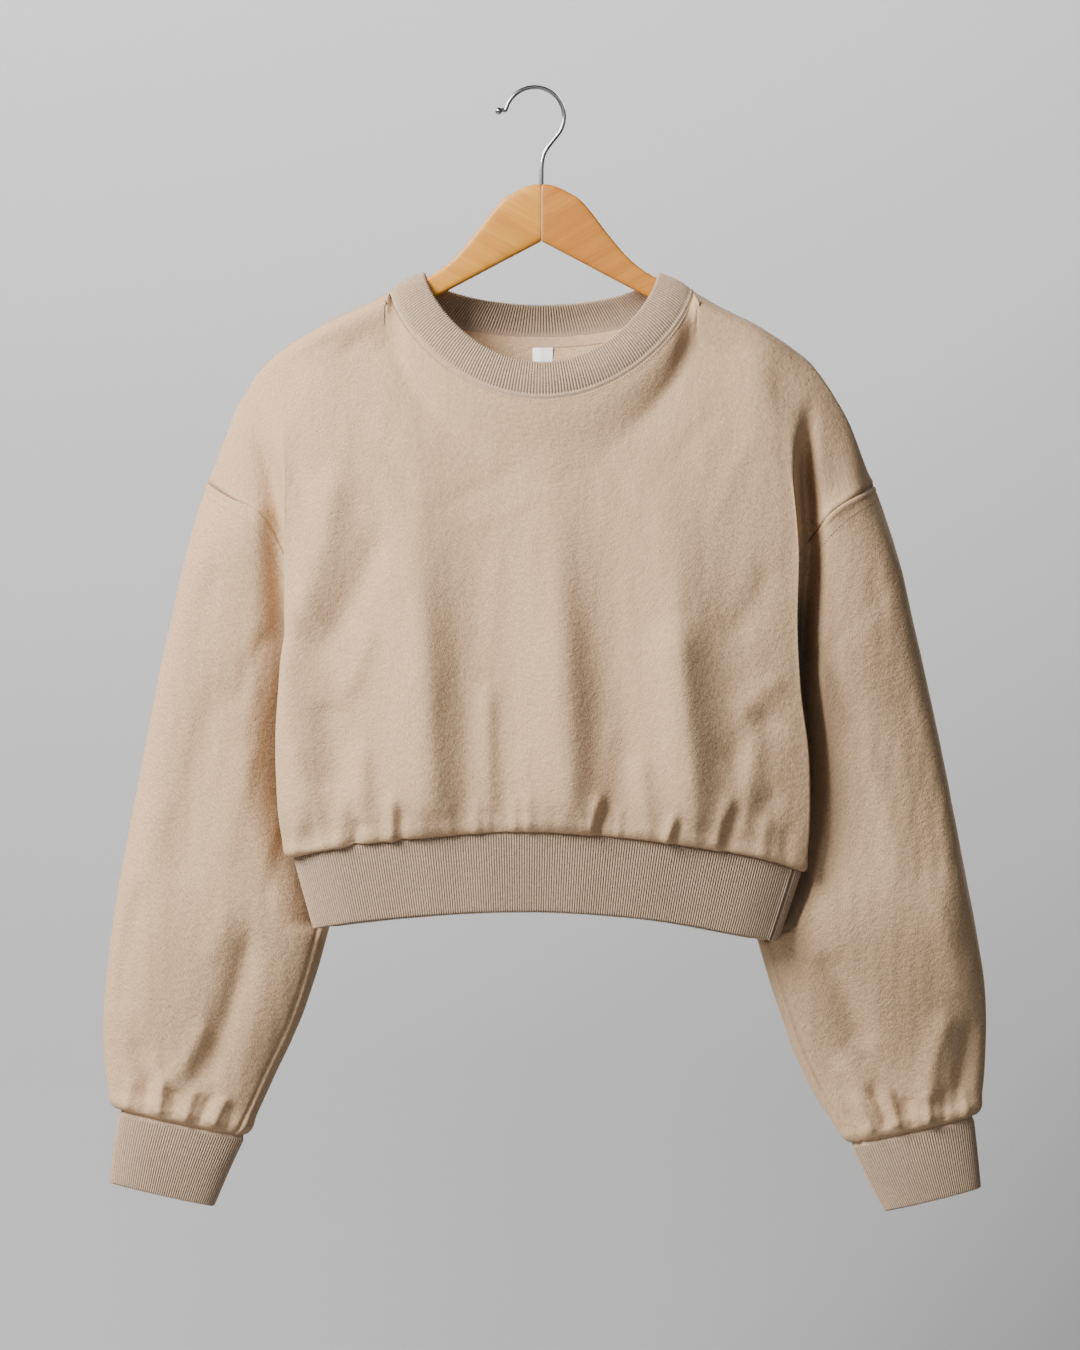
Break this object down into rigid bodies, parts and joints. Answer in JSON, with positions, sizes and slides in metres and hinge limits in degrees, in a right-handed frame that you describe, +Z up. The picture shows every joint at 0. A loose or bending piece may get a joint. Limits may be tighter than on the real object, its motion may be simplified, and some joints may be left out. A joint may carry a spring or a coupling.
{
  "type": "cropped sweatshirt on a wooden hanger",
  "caption": "Cropped crew-neck fleece sweatshirt with dropped shoulders and rib collar, cuffs and waistband, hanging on a wooden hanger with a wire hook.",
  "frame": {"origin": "point under the top of the hook where a rod bears", "axes": "+Z up, -Y out of the front of the garment, +X towards the viewer's right when the front is seen"},
  "size_m": [0.7099, 0.1393, 0.9023],
  "materials": {
    "fleece": "brushed cotton fleece with a fine jersey face, matte, faintly heathered",
    "rib_knit": "fine rib knit, matte",
    "neck_tape": "plain self-fabric tape, matte",
    "label_satin": "plain white woven satin, blank",
    "wood": "clear satin varnish on a honey-coloured hardwood",
    "chrome": "bright plated wire"
  },
  "bodies": {
    "root": {"panel_front": "fleece", "panel_back": "fleece", "sleeve_left": "fleece", "sleeve_right": "fleece", "collar": "rib_knit", "waistband": "rib_knit", "cuff_left": "rib_knit", "cuff_right": "rib_knit", "neck_tape": "neck_tape", "neck_label": "label_satin", "hanger_arm_left": "wood", "hanger_arm_right": "wood", "hook_wire": "chrome"}
  },
  "joints": []
}
